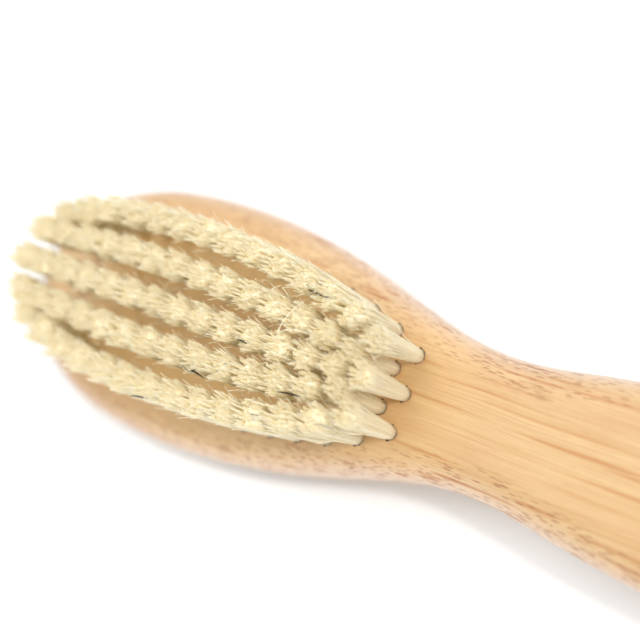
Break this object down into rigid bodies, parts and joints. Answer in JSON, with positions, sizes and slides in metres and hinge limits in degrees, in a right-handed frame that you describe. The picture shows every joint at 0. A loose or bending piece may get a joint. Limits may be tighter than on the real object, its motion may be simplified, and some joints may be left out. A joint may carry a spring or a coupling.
{
  "type": "neck duster brush",
  "caption": "Flat-backed bamboo hand brush with an oval head, a waisted neck and a paddle handle, set with lengthwise rows of pale natural bristle tufts.",
  "frame": {"origin": "on the flat back, half way along the overall length and on the centre line", "axes": "+X from the head to the handle end, +Y across the brush, +Z from the flat back towards the bristle tips"},
  "size_m": [0.174, 0.043, 0.0296],
  "materials": {
    "bamboo": "fine-sanded bamboo, satin, long straight grain along the brush",
    "bristle": "bleached natural bristle, pale cream, slightly glossy single hairs",
    "anchor_wire": "flat drawn wire"
  },
  "bodies": {
    "root": {"brush_body": "bamboo", "tufts_middle_row": "bristle", "tufts_left_inner_row": "bristle", "tufts_right_inner_row": "bristle", "tufts_left_outer_row": "bristle", "tufts_right_outer_row": "bristle", "anchors_middle_row": "anchor_wire", "anchors_left_inner_row": "anchor_wire", "anchors_right_inner_row": "anchor_wire", "anchors_left_outer_row": "anchor_wire", "anchors_right_outer_row": "anchor_wire"}
  },
  "joints": []
}
